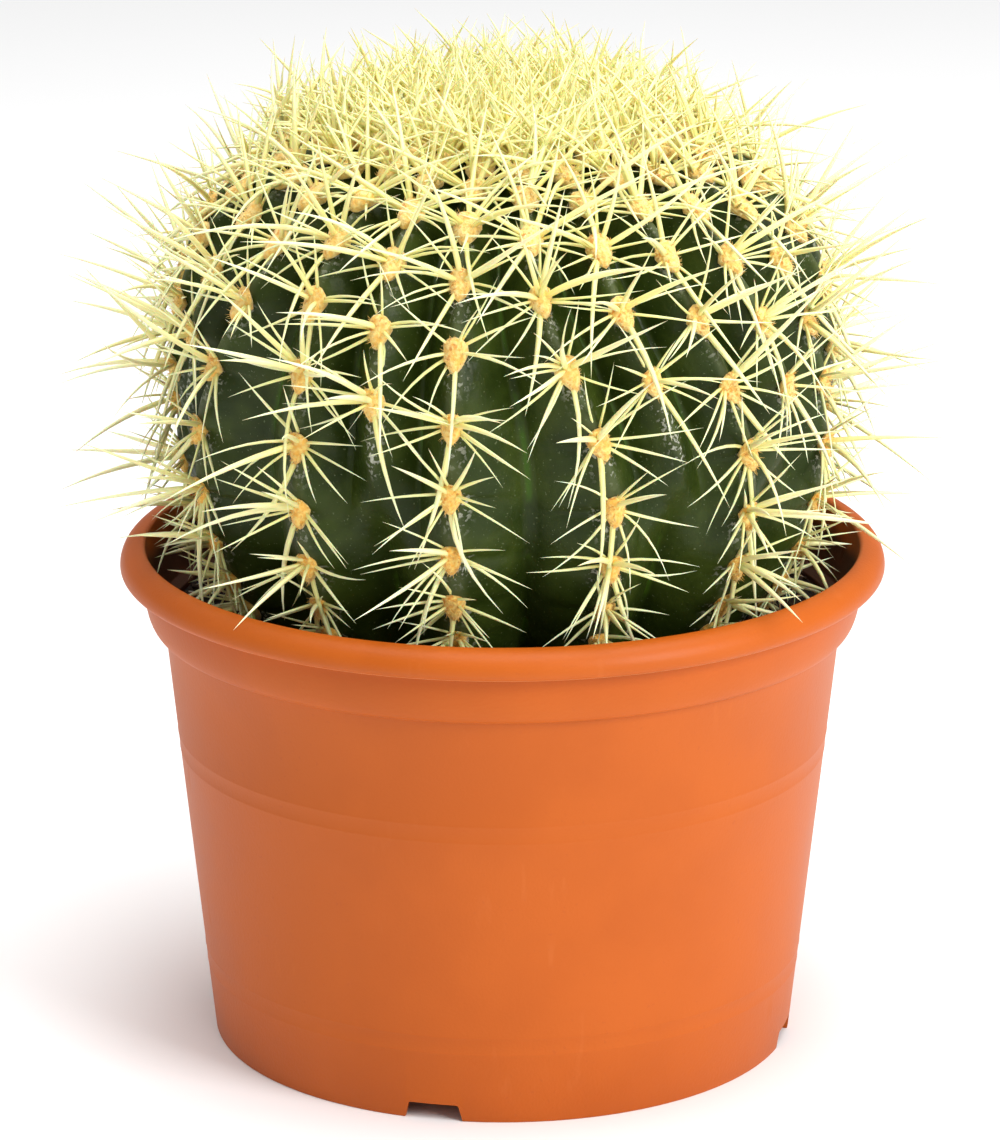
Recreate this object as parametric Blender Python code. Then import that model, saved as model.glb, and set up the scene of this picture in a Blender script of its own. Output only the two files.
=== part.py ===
"""A round, ribbed cactus growing in a round plastic nursery pot.

Units are metres and +Z is up. The origin is the centre of the pot's foot, on the
surface that the pot stands on, and the front of the plant looks along -Y.
"""

from math import cos, hypot, pi, radians, sin

import bmesh
import bpy
import numpy as np
from mathutils import Matrix, Vector

# Pot: a thin tapered bucket, moulded in one piece with its collar and lip.
FOOT_R = 0.0880
WALL_TOP_R = 0.1020
WALL_TOP_Z = 0.1293
COLLAR_R = 0.1080
COLLAR_STEP = 0.0022
SHOULDER_HEIGHT = 0.0127
GROOVE = 0.0007
LIP_R = 0.1150
LIP_TOP_Z = 0.1535
LIP_DEEP = 0.0087
LIP_WIDEST_Z = LIP_TOP_Z - 0.0064
LIP_TUCK_R = LIP_R - 0.0025
LIP_CREST_R = LIP_R - 0.0063
LIP_ROUND = 0.0014
WALL = 0.0018
FLOOR_Z = 0.0056
FOOT_ROUND = 0.0006
POT_SIDES = 60

# Feet and drainage: slots cut through the foot ring, and holes in the raised floor.
SLOTS = 4
FIRST_SLOT = -13.4
SLOT_TOP_WIDTH = 0.0150
SLOT_FOOT_WIDTH = 0.0185
SLOT_HEIGHT = 0.0052
SLOT_CUT_IN = 0.0040
SLOT_CUT_OUT = 0.0060
DRAIN_HOLES = 6
DRAIN_R = 0.0050
DRAIN_CIRCLE_R = 0.0550

# Potting mix: it fills the pot to below the lip and holds the base of the stem.
SOIL_TOP_Z = 0.1300
GAP = 0.0003

# Stem: a flattened globe with ribs, widest a little below its middle and sunk at the crown.
STEM_R = 0.0980
STEM_WAIST_Z = 0.1970
STEM_TOP_Z = 0.2815
CROWN_DIP = 0.0030
DIP_R = 0.0360
STEM_BASE_Z = 0.1120
CROWN_POWER = 3.0
BASE_FALL = 0.1000
RIB_DEPTH = 0.0125
RIBS_FROM_R = 0.0040
RIBS_WHOLE_R = 0.0620
RIBS_FADE_Z = 0.1320
FLANK_POWER = 1.35
STEM_ROWS = 20
STEP = 0.0015
COLUMNS_PER_RIB = 4

# Ribs: the old ones run from crown to soil, and the rest split off on the way up.
RIBS = 24
OLD_RIBS = (0, 1, 3, 5, 7, 9, 11, 13, 16, 18, 21, 22)
CROWN_TURN = -8.5
BASE_TURN = -9.5
FRONT_CROWDING = 4.3
TURN_FROM_Z = 0.2620
TURN_TO_Z = 0.1880
YOUNG_FROM_Z = 0.1660
YOUNG_WHOLE_Z = 0.2080

# Areoles: felt pads along each rib's edge, set out along a spiral round the stem.
FIRST_AREOLE = 0.0384
WIDEST_PITCH = 0.0211
WIDEST_AT = 0.1254
PITCH_LOSS = 1.62
STEPS_PER_PITCH = 4
OTHER_SPIRAL = range(6, 22)
LAST_AREOLE = 0.2170
YOUNG_LAST_AREOLE = 0.1490
YOUNG_WANDER = 0.0080
GOLDEN_ANGLE = 2.4
PAD_LENGTH = 0.0070
PAD_WIDTH = 0.0044
PAD_HEIGHT = 0.0016
PAD_LIFT = 0.0006

# Spines: on each pad one points up, one down and two aside. A lean is how far the tip lies down
# the rib, aside as a share of the way to the next valley, and outward as a share of the reach.
SPINE_OUT = 0.0360
CROWN_SPINE_OUT = 0.0320
TOP_SPINES = ((-0.0060, -0.12, 1.00), (0.0120, 0.12, 0.62))
SIDE_ALONG = 0.0020
SIDE_SPREAD = 0.78
SIDE_REACH = 0.55
SPREAD_LIMIT = 0.1305
CROWN_FROM_Z = 0.2500
RIM_CLEARANCE = 0.0060
MIX_CLEARANCE = 0.0040
INSIDE_RIM_R = 0.0985

# Wool: the felt over the growing point in the middle of the crown.
WOOL_R = 0.0345
WOOL_HEIGHT = 0.0070
WOOL_EDGE = 0.0008


def clear_scene():
    for old in list(bpy.data.objects):
        bpy.data.objects.remove(old)


def material(name, colour, roughness):
    """A plain material in linear colour; nothing on the plant or the pot is metal."""
    made = bpy.data.materials.new(name)
    made.use_nodes = True
    shader = made.node_tree.nodes["Principled BSDF"]
    shader.inputs["Base Color"].default_value = (*colour, 1.0)
    shader.inputs["Roughness"].default_value = roughness
    shader.inputs["Metallic"].default_value = 0.0
    return made


def finished(name, mesh_maker, its_material):
    """Makes a named object of a bmesh, shaded smooth but for its sharp edges."""
    bmesh.ops.recalc_face_normals(mesh_maker, faces=mesh_maker.faces)
    mesh = bpy.data.meshes.new(name)
    mesh_maker.to_mesh(mesh)
    mesh_maker.free()
    mesh.shade_smooth()
    mesh.set_sharp_from_angle(angle=radians(35))
    mesh.materials.append(its_material)
    made = bpy.data.objects.new(name, mesh)
    bpy.context.scene.collection.objects.link(made)
    return made


def cut_away(made, cutter):
    """Takes the cutter's shape out of an object, and hides the cutter."""
    cutter.hide_render = True
    cutter.display_type = "WIRE"
    cut = made.modifiers.new("cut", "BOOLEAN")
    cut.operation = "DIFFERENCE"
    cut.solver = "EXACT"
    cut.object = cutter


def compass(degrees, radius, height):
    """A point from its bearing round the plant: 0 is the front, and 90 is to the right."""
    turn = radians(degrees)
    return Vector((radius * sin(turn), -radius * cos(turn), height))


def turned(profile, sides):
    """A closed solid, spun round the Z axis from an outline that starts and ends on the axis."""
    shape = bmesh.new()
    corners = [shape.verts.new((radius, 0.0, height)) for radius, height in profile]
    edges = [shape.edges.new(pair) for pair in zip(corners, corners[1:])]
    bmesh.ops.spin(
        shape, geom=corners + edges, cent=(0, 0, 0), axis=(0, 0, 1), dvec=(0, 0, 0),
        angle=2 * pi, steps=sides, use_merge=True, use_duplicate=False)
    bmesh.ops.remove_doubles(shape, verts=shape.verts, dist=1e-6)
    return shape


def arc(centre_r, centre_z, width, height, first, last, points):
    """Points along an elliptical arc in the (radius, height) plane, angles in degrees."""
    angles = np.radians(np.linspace(first, last, points))
    return [(centre_r + width * cos(a), centre_z + height * sin(a)) for a in angles]


def wall_radius(height):
    """Outer radius of the tapered wall."""
    return FOOT_R + (WALL_TOP_R - FOOT_R) * height / WALL_TOP_Z


def pot_profile():
    """From the middle of the floor's underside, round the outside and lip, to the floor's top."""
    foot_inner_r = FOOT_R - WALL
    step_r = WALL_TOP_R + COLLAR_STEP
    shoulder_top_z = WALL_TOP_Z + SHOULDER_HEIGHT
    shoulder = arc(step_r, shoulder_top_z, COLLAR_R - step_r, SHOULDER_HEIGHT, -90, 0, 4)
    lip_low_z = LIP_TOP_Z - LIP_DEEP
    lip = [
        (COLLAR_R, lip_low_z + GROOVE),
        *arc(LIP_TUCK_R, LIP_WIDEST_Z, LIP_R - LIP_TUCK_R, LIP_WIDEST_Z - lip_low_z, -75, 0, 3),
        *arc(LIP_CREST_R, LIP_WIDEST_Z, LIP_R - LIP_CREST_R, LIP_TOP_Z - LIP_WIDEST_Z, 22, 90, 4),
        *arc(LIP_CREST_R, LIP_TOP_Z - LIP_ROUND, LIP_ROUND, LIP_ROUND, 135, 180, 2),
    ]
    inside = [
        (COLLAR_R - WALL, shoulder_top_z),
        (step_r - WALL / 2, WALL_TOP_Z + WALL),
        (WALL_TOP_R - WALL, WALL_TOP_Z - WALL),
        (wall_radius(FLOOR_Z + WALL) - WALL, FLOOR_Z + WALL),
        (0.0, FLOOR_Z + WALL),
    ]
    return [
        (0.0, FLOOR_Z),
        (foot_inner_r, FLOOR_Z),
        (foot_inner_r, 0.0),
        (FOOT_R - FOOT_ROUND, 0.0),
        (FOOT_R, FOOT_ROUND),
        (WALL_TOP_R, WALL_TOP_Z + GROOVE),
        *shoulder,
        *lip,
        *inside,
    ]


def drainage_cutters():
    """Wedge-shaped slots through the foot ring, and round holes through the floor, as one mesh."""
    shape = bmesh.new()
    for number in range(SLOTS):
        block = bmesh.ops.create_cube(shape, size=1.0)["verts"]
        for corner in block:
            half = SLOT_TOP_WIDTH / 2 if corner.co.z > 0 else SLOT_FOOT_WIDTH / 2
            corner.co.x = half if corner.co.x > 0 else -half
            corner.co.y = -FOOT_R + (SLOT_CUT_IN if corner.co.y > 0 else -SLOT_CUT_OUT)
            corner.co.z = SLOT_HEIGHT if corner.co.z > 0 else -WALL
        turn = radians(FIRST_SLOT + number * 360 / SLOTS)
        bmesh.ops.rotate(shape, verts=block, cent=(0, 0, 0), matrix=Matrix.Rotation(turn, 3, "Z"))
    spots = [Vector((0, 0, FLOOR_Z))]
    spots += [compass(n * 360 / DRAIN_HOLES, DRAIN_CIRCLE_R, FLOOR_Z) for n in range(DRAIN_HOLES)]
    for spot in spots:
        bmesh.ops.create_cone(
            shape, cap_ends=True, cap_tris=False, segments=12, radius1=DRAIN_R, radius2=DRAIN_R,
            depth=4 * WALL, matrix=Matrix.Translation(spot + Vector((0, 0, WALL / 2))))
    return shape


def make_pot():
    colour = material("terracotta plastic", (0.70, 0.17, 0.035), 0.45)
    pot = finished("pot", turned(pot_profile(), POT_SIDES), colour)
    cut_away(pot, finished("drainage_cutters", drainage_cutters(), colour))


def smooth_share(value, at_nought, at_one):
    """0 at one limit and 1 at the other, with a soft start and end between them."""
    share = min(1.0, max(0.0, (value - at_nought) / (at_one - at_nought)))
    return share * share * (3 - 2 * share)


def stem_outline():
    """Arc length, radius and height along the rib edges, from the crown's centre to the base's."""
    angles = np.linspace(0, pi / 2, 400)
    crown_r = STEM_R * np.sin(angles) ** (2 / CROWN_POWER)
    crown_z = STEM_WAIST_Z + (STEM_TOP_Z - STEM_WAIST_Z) * np.cos(angles) ** (2 / CROWN_POWER)
    crown_z -= CROWN_DIP * np.maximum(0.0, 1 - (crown_r / DIP_R) ** 2) ** 2
    fall = np.linspace(0, STEM_WAIST_Z - STEM_BASE_Z, 200)[1:]
    base_r = STEM_R * np.sqrt(1 - (fall / BASE_FALL) ** 2)
    radius = np.concatenate([crown_r, base_r, [0.0]])
    height = np.concatenate([crown_z, STEM_WAIST_Z - fall, [STEM_BASE_Z]])
    steps = np.hypot(np.diff(radius), np.diff(height))
    return np.concatenate([[0.0], np.cumsum(steps)]), radius, height


OUTLINE = stem_outline()


def on_outline(length):
    """Radius and height at a length along the outline, and the outward normal there."""
    lengths, radius, height = OUTLINE
    ahead = min(length + STEP, lengths[-1])
    behind = max(length - STEP, 0.0)
    run_r = np.interp(ahead, lengths, radius) - np.interp(behind, lengths, radius)
    run_z = np.interp(ahead, lengths, height) - np.interp(behind, lengths, height)
    size = hypot(run_r, run_z)
    here = (np.interp(length, lengths, radius), np.interp(length, lengths, height))
    return here, (-run_z / size, run_r / size)


def bearing(rib, height):
    """Bearing of a place in the rib pattern: the ribs lean as the old ones spread lower down."""
    old = np.array((OLD_RIBS[-1] - RIBS, *OLD_RIBS, RIBS, RIBS + OLD_RIBS[1]))
    number = np.arange(-1, len(OLD_RIBS) + 2)
    at_base = BASE_TURN + 360 / len(OLD_RIBS) * np.interp(rib, old, number)
    at_crown = CROWN_TURN + 360 / RIBS * rib
    even = at_crown + (at_base - at_crown) * smooth_share(height, TURN_FROM_Z, TURN_TO_Z)
    return even - FRONT_CROWDING * sin(radians(even))


def valley_share(rib, height):
    """0 on the edge of a rib and 1 in the valley, with the young ribs fading out lower down."""
    among_all = (2 * abs(rib - round(rib))) ** FLANK_POWER
    ends = sorted((*OLD_RIBS, RIBS, OLD_RIBS[-1] - RIBS))
    left = max(end for end in ends if end <= rib + 1e-9)
    right = min((end for end in ends if end > rib + 1e-9), default=RIBS)
    among_old = min(1.0, 2 * min(rib - left, right - rib) / (right - left)) ** FLANK_POWER
    young = smooth_share(height, YOUNG_FROM_Z, YOUNG_WHOLE_Z)
    return among_old + (among_all - among_old) * young


def stem_point(rib, length, lift=0.0):
    """A point on the stem: rib counts round it, and length runs down from the crown's centre."""
    (radius, height), (out_r, out_z) = on_outline(length)
    depth = RIB_DEPTH * smooth_share(radius, RIBS_FROM_R, RIBS_WHOLE_R)
    depth *= smooth_share(height, STEM_BASE_Z, RIBS_FADE_Z)
    carved = lift - depth * valley_share(rib % RIBS, height)
    return compass(bearing(rib % RIBS, height), radius + carved * out_r, height + carved * out_z)


def ribbed_globe(lift):
    """The stem's closed surface, raised by lift, worked from a sphere whose columns follow the ribs."""
    shape = bmesh.new()
    columns = RIBS * COLUMNS_PER_RIB
    bmesh.ops.create_uvsphere(shape, u_segments=columns, v_segments=STEM_ROWS, radius=1.0)
    whole = OUTLINE[0][-1]
    for corner in shape.verts:
        column = round((np.arctan2(corner.co.x, -corner.co.y) / (2 * pi) % 1.0) * columns)
        share = np.arccos(np.clip(corner.co.z, -1.0, 1.0)) / pi
        corner.co = stem_point(column / COLUMNS_PER_RIB, share * whole, lift)
    bmesh.ops.triangulate(shape, faces=shape.faces, quad_method="FIXED", ngon_method="BEAUTY")
    return shape


def make_stem():
    colour = material("waxy green skin", (0.020, 0.050, 0.016), 0.35)
    finished("cactus_stem", ribbed_globe(0.0), colour)


def make_potting_mix():
    """A plug of mix that fills the pot's inside, with the stem's base let into its top."""
    colour = material("dark potting mix", (0.030, 0.018, 0.011), 0.95)
    bottom = FLOOR_Z + WALL + GAP
    inner = WALL + 2 * GAP
    plug = turned([
        (0.0, bottom),
        (wall_radius(bottom) - inner, bottom),
        (WALL_TOP_R - inner, WALL_TOP_Z - 2 * WALL),
        (WALL_TOP_R - inner, SOIL_TOP_Z),
        (0.0, SOIL_TOP_Z),
    ], POT_SIDES)
    mix = finished("potting_mix", plug, colour)
    cut_away(mix, finished("stem_pocket", ribbed_globe(GAP * 1.5), colour))


def make_wool():
    """A low domed cushion of felt that lies on the middle of the crown."""
    shape = bmesh.new()
    bmesh.ops.create_uvsphere(shape, u_segments=24, v_segments=8, radius=1.0)
    for corner in shape.verts:
        across = hypot(corner.co.x, corner.co.y) * WOOL_R
        (_, crown_z), _ = on_outline(across)
        rise = WOOL_EDGE + max(0.0, corner.co.z) * WOOL_HEIGHT + min(0.0, corner.co.z) * WOOL_EDGE
        corner.co = Vector((corner.co.x * WOOL_R, corner.co.y * WOOL_R, crown_z + GAP + rise))
    finished("crown_wool", shape, material("cream crown wool", (0.72, 0.52, 0.22), 0.95))


def areole_places(rib):
    """Lengths along the stem at which one rib has its areoles, from the crown down. Each rib's
    stand a quarter of a pitch below its neighbour's, and crowd together towards both ends."""
    turn = rib + (STEPS_PER_PITCH // 2 if rib in OTHER_SPIRAL else 0)
    wander = YOUNG_WANDER * sin(rib * GOLDEN_ANGLE)
    lowest = LAST_AREOLE if rib in OLD_RIBS else YOUNG_LAST_AREOLE + wander
    places = []
    place, step = FIRST_AREOLE, 0
    while place < lowest:
        if step % STEPS_PER_PITCH == turn % STEPS_PER_PITCH:
            places.append(place)
        place += (WIDEST_PITCH - PITCH_LOSS * (place - WIDEST_AT) ** 2) / STEPS_PER_PITCH
        step += 1
    return places


def rib_axes(rib, length):
    """The rib edge's point there, and its directions outward, down the rib and across it."""
    here = stem_point(rib, length)
    down = (stem_point(rib, length + STEP) - stem_point(rib, length - STEP)).normalized()
    _, (out_r, out_z) = on_outline(length)
    level = Vector((here.x, here.y, 0)).normalized()
    across = down.cross(level * out_r + Vector((0, 0, out_z))).normalized()
    return here, across.cross(down).normalized(), down, across


def spine_tip(rib, length, along, aside, reach):
    """Where a spine ends: among its own rib's spines, inside the lip and above the mix."""
    here, out, down, across = rib_axes(rib, length)
    full = SPINE_OUT + (CROWN_SPINE_OUT - SPINE_OUT) * smooth_share(here.z, CROWN_FROM_Z, STEM_TOP_Z)
    tip = here + out * full * reach + down * along
    tip += across * aside * hypot(tip.x, tip.y) * pi / RIBS
    radius = hypot(tip.x, tip.y)
    if tip.z < LIP_TOP_Z + RIM_CLEARANCE and radius > INSIDE_RIM_R:
        tip.x *= INSIDE_RIM_R / radius
        tip.y *= INSIDE_RIM_R / radius
    tip.x = min(SPREAD_LIMIT, max(-SPREAD_LIMIT, tip.x))
    tip.y = min(SPREAD_LIMIT, max(-SPREAD_LIMIT, tip.y))
    tip.z = max(SOIL_TOP_Z + MIX_CLEARANCE, tip.z)
    return tip


def make_spine_row(rib, colour):
    """One rib's areoles and spines: a bar drawn down the rib's edge, with a wide felt pad at each
    areole and the pad's faces drawn out to spines."""
    places = areole_places(rib)
    rings = 3 * len(places)
    shape = bmesh.new()
    bmesh.ops.create_cube(shape, size=1.0)
    lengthwise = [edge for edge in shape.edges if edge.verts[0].co.x * edge.verts[1].co.x < 0]
    bmesh.ops.subdivide_edges(shape, edges=lengthwise, cuts=rings - 2)

    growing = []
    for face in shape.faces:
        face.normal_update()
        cell = round((face.calc_center_median().x + 0.5) * (rings - 1) - 0.5)
        pad, part = divmod(cell, 3)
        aside = round(face.normal.y)
        if round(face.normal.z) == 1 and part < 2:
            growing.append((face, places[pad], TOP_SPINES[part]))
        elif aside and part == 1:
            growing.append((face, places[pad], (SIDE_ALONG, aside * SIDE_SPREAD, SIDE_REACH)))

    for corner in shape.verts:
        pad, ring = divmod(round((corner.co.x + 0.5) * (rings - 1)), 3)
        place = places[pad] + (ring - 1) * PAD_LENGTH / 2
        here, out, _, across = rib_axes(rib, place)
        lift = PAD_LIFT + (PAD_HEIGHT if corner.co.z > 0 else 0.0)
        side = PAD_WIDTH / 2 if corner.co.y > 0 else -PAD_WIDTH / 2
        corner.co = here + out * lift + across * side

    for face, place, lean in growing:
        peak = bmesh.ops.poke(shape, faces=[face])["verts"][0]
        peak.co = spine_tip(rib, place, *lean)
    finished(f"spine_row_{rib + 1:02d}", shape, colour)


def main():
    clear_scene()
    make_pot()
    make_stem()
    make_potting_mix()
    make_wool()
    spines = material("pale yellow spines", (0.80, 0.74, 0.30), 0.50)
    for rib in range(RIBS):
        make_spine_row(rib, spines)


main()
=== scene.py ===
"""The looks of a round, ribbed cactus in a round plastic nursery pot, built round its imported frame.

Units are metres and +Z is up. Bearings run round the plant: 0 is the front, 90 the right.
"""

from math import cos, pi, radians, sin
from random import Random

import bmesh
import bpy
import numpy as np
from mathutils import Matrix, Vector, noise
from mathutils.bvhtree import BVHTree


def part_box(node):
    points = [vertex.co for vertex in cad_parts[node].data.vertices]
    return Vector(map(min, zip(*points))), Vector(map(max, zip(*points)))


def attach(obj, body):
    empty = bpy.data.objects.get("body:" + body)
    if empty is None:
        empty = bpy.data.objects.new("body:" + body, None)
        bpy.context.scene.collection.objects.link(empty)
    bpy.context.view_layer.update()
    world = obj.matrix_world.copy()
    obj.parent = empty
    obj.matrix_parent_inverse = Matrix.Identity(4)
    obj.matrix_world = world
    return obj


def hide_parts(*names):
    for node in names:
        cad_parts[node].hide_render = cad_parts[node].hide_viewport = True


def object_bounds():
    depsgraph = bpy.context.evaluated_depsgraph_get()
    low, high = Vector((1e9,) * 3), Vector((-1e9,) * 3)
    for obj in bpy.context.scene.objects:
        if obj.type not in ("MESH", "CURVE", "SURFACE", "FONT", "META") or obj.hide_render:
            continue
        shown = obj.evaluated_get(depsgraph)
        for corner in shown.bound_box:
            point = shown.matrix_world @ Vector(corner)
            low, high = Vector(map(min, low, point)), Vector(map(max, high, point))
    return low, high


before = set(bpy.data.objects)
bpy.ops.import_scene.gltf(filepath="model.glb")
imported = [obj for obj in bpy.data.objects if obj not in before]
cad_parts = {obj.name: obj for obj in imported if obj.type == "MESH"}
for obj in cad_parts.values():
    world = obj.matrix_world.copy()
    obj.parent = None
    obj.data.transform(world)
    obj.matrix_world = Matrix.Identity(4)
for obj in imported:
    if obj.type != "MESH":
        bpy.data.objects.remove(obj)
cad_low, cad_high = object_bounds()

# --------------------------------------------------------------
# Pot: one injection moulding in matt orange polypropylene. A thin tapered wall carries a
# collar and a rolled lip; the floor is raised on a foot ring with four slots, and drains
# through seven holes. Two pairs of fine beads run round the wall.
# --------------------------------------------------------------
_, pot_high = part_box("pot")
LIP_R = pot_high.x
LIP_TOP_Z = pot_high.z
LIP_DEEP = 0.0087
LIP_WIDEST_Z = LIP_TOP_Z - 0.0064
LIP_TUCK_R = LIP_R - 0.0025
LIP_CREST_R = LIP_R - 0.0063
LIP_ROUND = 0.0014
FOOT_R = 0.0880
WALL_TOP_R = 0.1020
WALL_TOP_Z = 0.1293
COLLAR_R = 0.1080
COLLAR_STEP = 0.0022
SHOULDER_HEIGHT = 0.0127
GROOVE = 0.0007
# Height of the painted highlight along the lip's lower edge.
LIP_EDGE_HIGHLIGHT_HEIGHT = 0.0005
WALL = 0.0018
FLOOR_Z = 0.0056
POT_STEPS = 256
EDGE_ROUND = 0.0004
BEADS_Z = (0.0220, 0.0274, 0.0903, 0.0956)
BEAD_HALF = 0.0006
BEAD_PROUD = 0.00011
SLOTS = 4
FIRST_SLOT = -13.4
SLOT_TOP_WIDTH = 0.0150
SLOT_FOOT_WIDTH = 0.0185
SLOT_HEIGHT = 0.0052
SLOT_ROUND = 0.0007
SLOT_CUT_IN = 2 * WALL
SLOT_CUT_OUT = 3 * WALL
DRAIN_HOLES = 6
DRAIN_R = 0.0050
DRAIN_CIRCLE_R = 0.0550
# Painted shade inside the pot: where it stops under the lip, how softly it fades, how ragged its line
# is.
INNER_SHADE_TOP_Z = 0.1530
INNER_SHADE_SOFT = 0.0060
INNER_SHADE_RAGGED = 0.0080
SHARP = radians(35)
ALL_SMOOTH = pi


def compass(degrees, radius, height):
    """A point from its bearing round the plant."""
    turn = radians(degrees)
    return Vector((radius * sin(turn), -radius * cos(turn), height))


def arc(centre_r, centre_z, width, height, first, last, points):
    """Points along an elliptical arc in the (radius, height) plane, angles in degrees."""
    angles = np.radians(np.linspace(first, last, points))
    return [(centre_r + width * cos(a), centre_z + height * sin(a)) for a in angles]


def wall_radius(height):
    """Outer radius of the tapered wall."""
    return FOOT_R + (WALL_TOP_R - FOOT_R) * height / WALL_TOP_Z


def bead(height):
    """A low rounded ridge on the wall."""
    rise = [(-1.0, 0.0), (-0.5, 0.7), (0.0, 1.0), (0.5, 0.7), (1.0, 0.0)]
    return [
        (wall_radius(height + along * BEAD_HALF) + proud * BEAD_PROUD, height + along * BEAD_HALF)
        for along, proud in rise
    ]


def pot_inside():
    """The pot's inner face, from its lip down to the middle of its floor."""
    return [
        *arc(LIP_CREST_R, LIP_TOP_Z - LIP_ROUND, LIP_ROUND, LIP_ROUND, 102, 180, 8),
        (COLLAR_R - WALL, WALL_TOP_Z + SHOULDER_HEIGHT),
        (WALL_TOP_R + COLLAR_STEP - WALL / 2, WALL_TOP_Z + 2 * WALL),
        (WALL_TOP_R - WALL, WALL_TOP_Z + WALL),
        (wall_radius(FLOOR_Z + WALL) - WALL, FLOOR_Z + WALL),
        (0.0, FLOOR_Z + WALL),
    ]


def pot_outline():
    """From the middle of the floor's underside, round the outside and lip, to the floor's top."""
    foot_inner_r = FOOT_R - WALL
    step_r = WALL_TOP_R + COLLAR_STEP
    shoulder_top_z = WALL_TOP_Z + SHOULDER_HEIGHT
    lip_low_z = LIP_TOP_Z - LIP_DEEP
    wall = [point for height in BEADS_Z for point in bead(height)]
    return [
        (0.0, FLOOR_Z),
        (foot_inner_r, FLOOR_Z),
        (foot_inner_r, 0.0),
        (FOOT_R, 0.0),
        *wall,
        (WALL_TOP_R, WALL_TOP_Z + GROOVE),
        *arc(step_r, shoulder_top_z, COLLAR_R - step_r, SHOULDER_HEIGHT, -90, 0, 14),
        (COLLAR_R, lip_low_z + GROOVE),
        *arc(LIP_TUCK_R, LIP_WIDEST_Z, LIP_R - LIP_TUCK_R, LIP_WIDEST_Z - lip_low_z, -75, 0, 9),
        *arc(LIP_CREST_R, LIP_WIDEST_Z, LIP_R - LIP_CREST_R, LIP_TOP_Z - LIP_WIDEST_Z, 6, 90, 16),
        *pot_inside(),
    ]


def turned(outline, steps):
    """A closed shape, spun round the Z axis from an outline of (radius, height)."""
    shape = bmesh.new()
    corners = [shape.verts.new((radius, 0.0, height)) for radius, height in outline]
    edges = [shape.edges.new(pair) for pair in zip(corners, corners[1:])]
    bmesh.ops.spin(
        shape, geom=corners + edges, cent=(0, 0, 0), axis=(0, 0, 1), dvec=(0, 0, 0),
        angle=2 * pi, steps=steps, use_merge=True, use_duplicate=False)
    bmesh.ops.remove_doubles(shape, verts=shape.verts, dist=1e-6)
    return shape


def round_edges(shape, radius, from_angle):
    """Rounds every edge that turns more than an angle."""
    shape.normal_update()
    sharp = [e for e in shape.edges if e.is_manifold and e.calc_face_angle() > from_angle]
    bmesh.ops.bevel(
        shape, geom=sharp, offset=radius, segments=2, profile=0.5, affect="EDGES",
        material=-1, clamp_overlap=True)


def mesh_as_is(shape, name):
    """Ends a shape as a mesh."""
    mesh = bpy.data.meshes.new(name)
    shape.to_mesh(mesh)
    shape.free()
    return mesh


def mesh_from(shape, name):
    """Ends a shape as a mesh with its faces turned outward."""
    bmesh.ops.recalc_face_normals(shape, faces=shape.faces)
    return mesh_as_is(shape, name)


def placed(name, mesh):
    """Puts a mesh in the scene as a piece, at the origin."""
    piece = bpy.data.objects.new(name, mesh)
    bpy.context.scene.collection.objects.link(piece)
    return piece


def dress(piece, finish, angle=SHARP):
    """Gives a piece its finish, shaded smooth but for its sharp edges."""
    piece.data.shade_smooth()
    piece.data.set_sharp_from_angle(angle=angle)
    piece.data.materials.clear()
    piece.data.materials.append(finish.material)


def cut_out(piece, cutter):
    """Takes the cutter's shape out of a piece for good."""
    cut = piece.modifiers.new("cut", "BOOLEAN")
    cut.solver = "EXACT"
    cut.object = cutter
    graph = bpy.context.evaluated_depsgraph_get()
    whole = bpy.data.meshes.new_from_object(piece.evaluated_get(graph))
    piece.modifiers.clear()
    piece.data = whole
    bpy.data.objects.remove(cutter)


def write_attribute(mesh, name, values):
    layer = mesh.attributes.new(name, "FLOAT", "POINT")
    layer.data.foreach_set("value", np.asarray(values, np.float32).ravel())


def mark_inside(mesh):
    """Marks the points on the pot's inner face."""
    radii, heights = np.array(pot_inside()[:-1][::-1]).T
    spots = np.array([corner.co for corner in mesh.vertices])
    inner_r = np.interp(spots[:, 2], heights, radii) + WALL / 4
    inner = (np.hypot(spots[:, 0], spots[:, 1]) < inner_r) & (spots[:, 2] > FLOOR_Z + WALL / 2)
    write_attribute(mesh, "inside", inner)


def drainage_cutters():
    """Wedge-shaped slots through the foot ring, and round holes through the floor."""
    shape = bmesh.new()
    for number in range(SLOTS):
        block = bmesh.ops.create_cube(shape, size=1.0)["verts"]
        for corner in block:
            half = SLOT_TOP_WIDTH / 2 if corner.co.z > 0 else SLOT_FOOT_WIDTH / 2
            corner.co.x = half if corner.co.x > 0 else -half
            corner.co.y = -FOOT_R + (SLOT_CUT_IN if corner.co.y > 0 else -SLOT_CUT_OUT)
            corner.co.z = SLOT_HEIGHT if corner.co.z > 0 else -WALL
        edges = dict.fromkeys(edge for corner in block for edge in corner.link_edges)
        through = [e for e in edges if abs(e.verts[0].co.y - e.verts[1].co.y) > WALL]
        made = bmesh.ops.bevel(
            shape, geom=through, offset=SLOT_ROUND, segments=3, profile=0.5, affect="EDGES",
            material=-1)
        solid = set(made["verts"])
        solid.update(v for v in block if v.is_valid)
        turn = Matrix.Rotation(radians(FIRST_SLOT + number * 360 / SLOTS), 3, "Z")
        bmesh.ops.rotate(shape, verts=list(solid), cent=(0, 0, 0), matrix=turn)
    spots = [Vector((0, 0, FLOOR_Z))]
    spots += [compass(n * 360 / DRAIN_HOLES, DRAIN_CIRCLE_R, FLOOR_Z) for n in range(DRAIN_HOLES)]
    for spot in spots:
        bmesh.ops.create_cone(
            shape, cap_ends=True, cap_tris=False, segments=32, radius1=DRAIN_R, radius2=DRAIN_R,
            depth=4 * WALL, matrix=Matrix.Translation(spot + Vector((0, 0, WALL / 2))))
    return shape


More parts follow.
